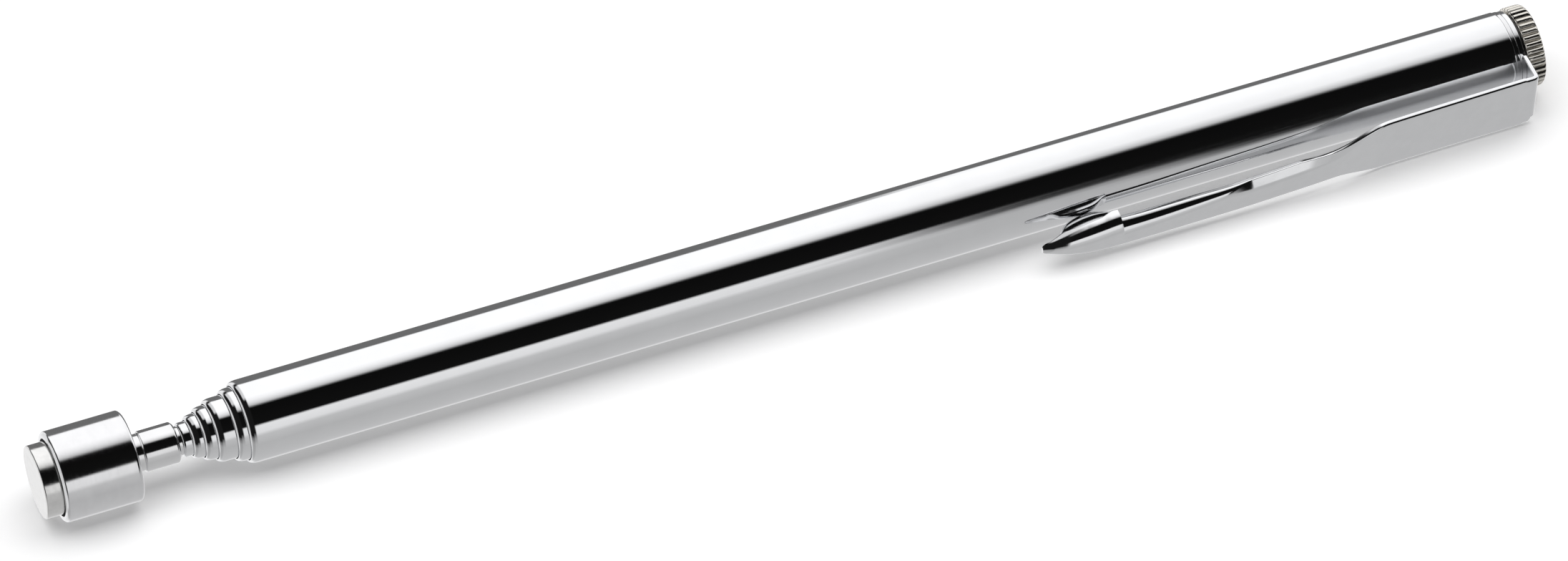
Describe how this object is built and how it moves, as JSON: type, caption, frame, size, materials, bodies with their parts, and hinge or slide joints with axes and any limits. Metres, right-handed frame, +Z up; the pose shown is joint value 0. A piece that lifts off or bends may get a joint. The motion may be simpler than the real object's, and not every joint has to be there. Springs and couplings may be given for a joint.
{
  "type": "telescopic magnetic pick-up tool",
  "caption": "Pen-size magnetic reacher: a magnet in a steel cup on a neck and telescoping chromed tubes, with a pocket clip and a knurled end cap.",
  "frame": {"origin": "middle of the magnet's flat face, on the tool's axis", "axes": "+X out of the magnet's face, the way the tool extends; +Z up, with the tool lying on its side and its pocket clip towards +Y"},
  "size_m": [0.1329, 0.0105, 0.0076],
  "materials": {
    "tube_chrome": "mirror chrome plate",
    "clip_chrome": "mirror chrome plate",
    "neck_chrome": "chrome plate over turned steel",
    "cup_chrome": "chrome plate over turned steel, finely grained",
    "plug_chrome": "chrome plate over turned steel",
    "magnet_nickel": "satin nickel plate",
    "cap_nickel": "nickel plate, warm grey",
    "washer_steel": "dark spring steel",
    "brass": "drawn brass",
    "bronze": "phosphor bronze sheet",
    "resin": "cured bonding resin"
  },
  "bodies": {
    "barrel": {"barrel_tube": "tube_chrome", "end_plug": "plug_chrome", "clip_foot": "clip_chrome"},
    "spring_5": {"friction_spring_5": "bronze"},
    "stage_5": {"section_5": "tube_chrome", "stop_bush_5": "brass"},
    "spring_4": {"friction_spring_4": "bronze"},
    "stage_4": {"section_4": "tube_chrome", "stop_bush_4": "brass"},
    "spring_3": {"friction_spring_3": "bronze"},
    "stage_3": {"section_3": "tube_chrome", "stop_bush_3": "brass"},
    "spring_2": {"friction_spring_2": "bronze"},
    "stage_2": {"section_2": "tube_chrome", "stop_bush_2": "brass"},
    "spring_1": {"friction_spring_1": "bronze"},
    "stage_1": {"section_1": "tube_chrome", "stop_bush_1": "brass", "neck": "neck_chrome", "magnet_cup": "cup_chrome", "magnet_resin": "resin", "magnet": "magnet_nickel"},
    "clip": {"clip_arm": "clip_chrome"},
    "cap_washer": {"cap_washer": "washer_steel"},
    "cap": {"knurled_cap": "cap_nickel"}
  },
  "joints": [
    {"name": "slide_5", "type": "slide", "parent": "barrel", "child": "spring_5", "axis": [1, 0, 0], "range_m": [0, 0.0984]},
    {"name": "spin_5", "type": "hinge", "parent": "spring_5", "child": "stage_5", "pos_m": [-0.122, 0, 0], "axis": [1, 0, 0], "continuous": true},
    {"name": "slide_4", "type": "slide", "parent": "stage_5", "child": "spring_4", "axis": [1, 0, 0], "range_m": [0, 0.0994]},
    {"name": "spin_4", "type": "hinge", "parent": "spring_4", "child": "stage_4", "pos_m": [-0.122, 0, 0], "axis": [1, 0, 0], "continuous": true},
    {"name": "slide_3", "type": "slide", "parent": "stage_4", "child": "spring_3", "axis": [1, 0, 0], "range_m": [0, 0.1009]},
    {"name": "spin_3", "type": "hinge", "parent": "spring_3", "child": "stage_3", "pos_m": [-0.122, 0, 0], "axis": [1, 0, 0], "continuous": true},
    {"name": "slide_2", "type": "slide", "parent": "stage_3", "child": "spring_2", "axis": [1, 0, 0], "range_m": [0, 0.1019]},
    {"name": "spin_2", "type": "hinge", "parent": "spring_2", "child": "stage_2", "pos_m": [-0.122, 0, 0], "axis": [1, 0, 0], "continuous": true},
    {"name": "slide_1", "type": "slide", "parent": "stage_2", "child": "spring_1", "axis": [1, 0, 0], "range_m": [0, 0.1028]},
    {"name": "spin_1", "type": "hinge", "parent": "spring_1", "child": "stage_1", "pos_m": [-0.122, 0, 0], "axis": [1, 0, 0], "continuous": true},
    {"name": "clip_flex", "type": "hinge", "parent": "barrel", "child": "clip", "pos_m": [-0.12905, 0.00595, -0.00078], "axis": [0, 0.1305, 0.9914], "range_deg": [0, 4], "stiffness_Nm_per_rad": 0.5, "springref_deg": -5.16},
    {"name": "cap_slide", "type": "slide", "parent": "barrel", "child": "cap_washer", "axis": [-1, 0, 0], "range_m": [0, 0.004]},
    {"name": "cap_turn", "type": "hinge", "parent": "cap_washer", "child": "cap", "pos_m": [-0.132, 0, 0], "axis": [-1, 0, 0], "range_deg": [0, 2881]}
  ],
  "couplings": [
    {"joint": "cap_turn", "follows": "cap_slide", "rad_per_m": 12566}
  ]
}
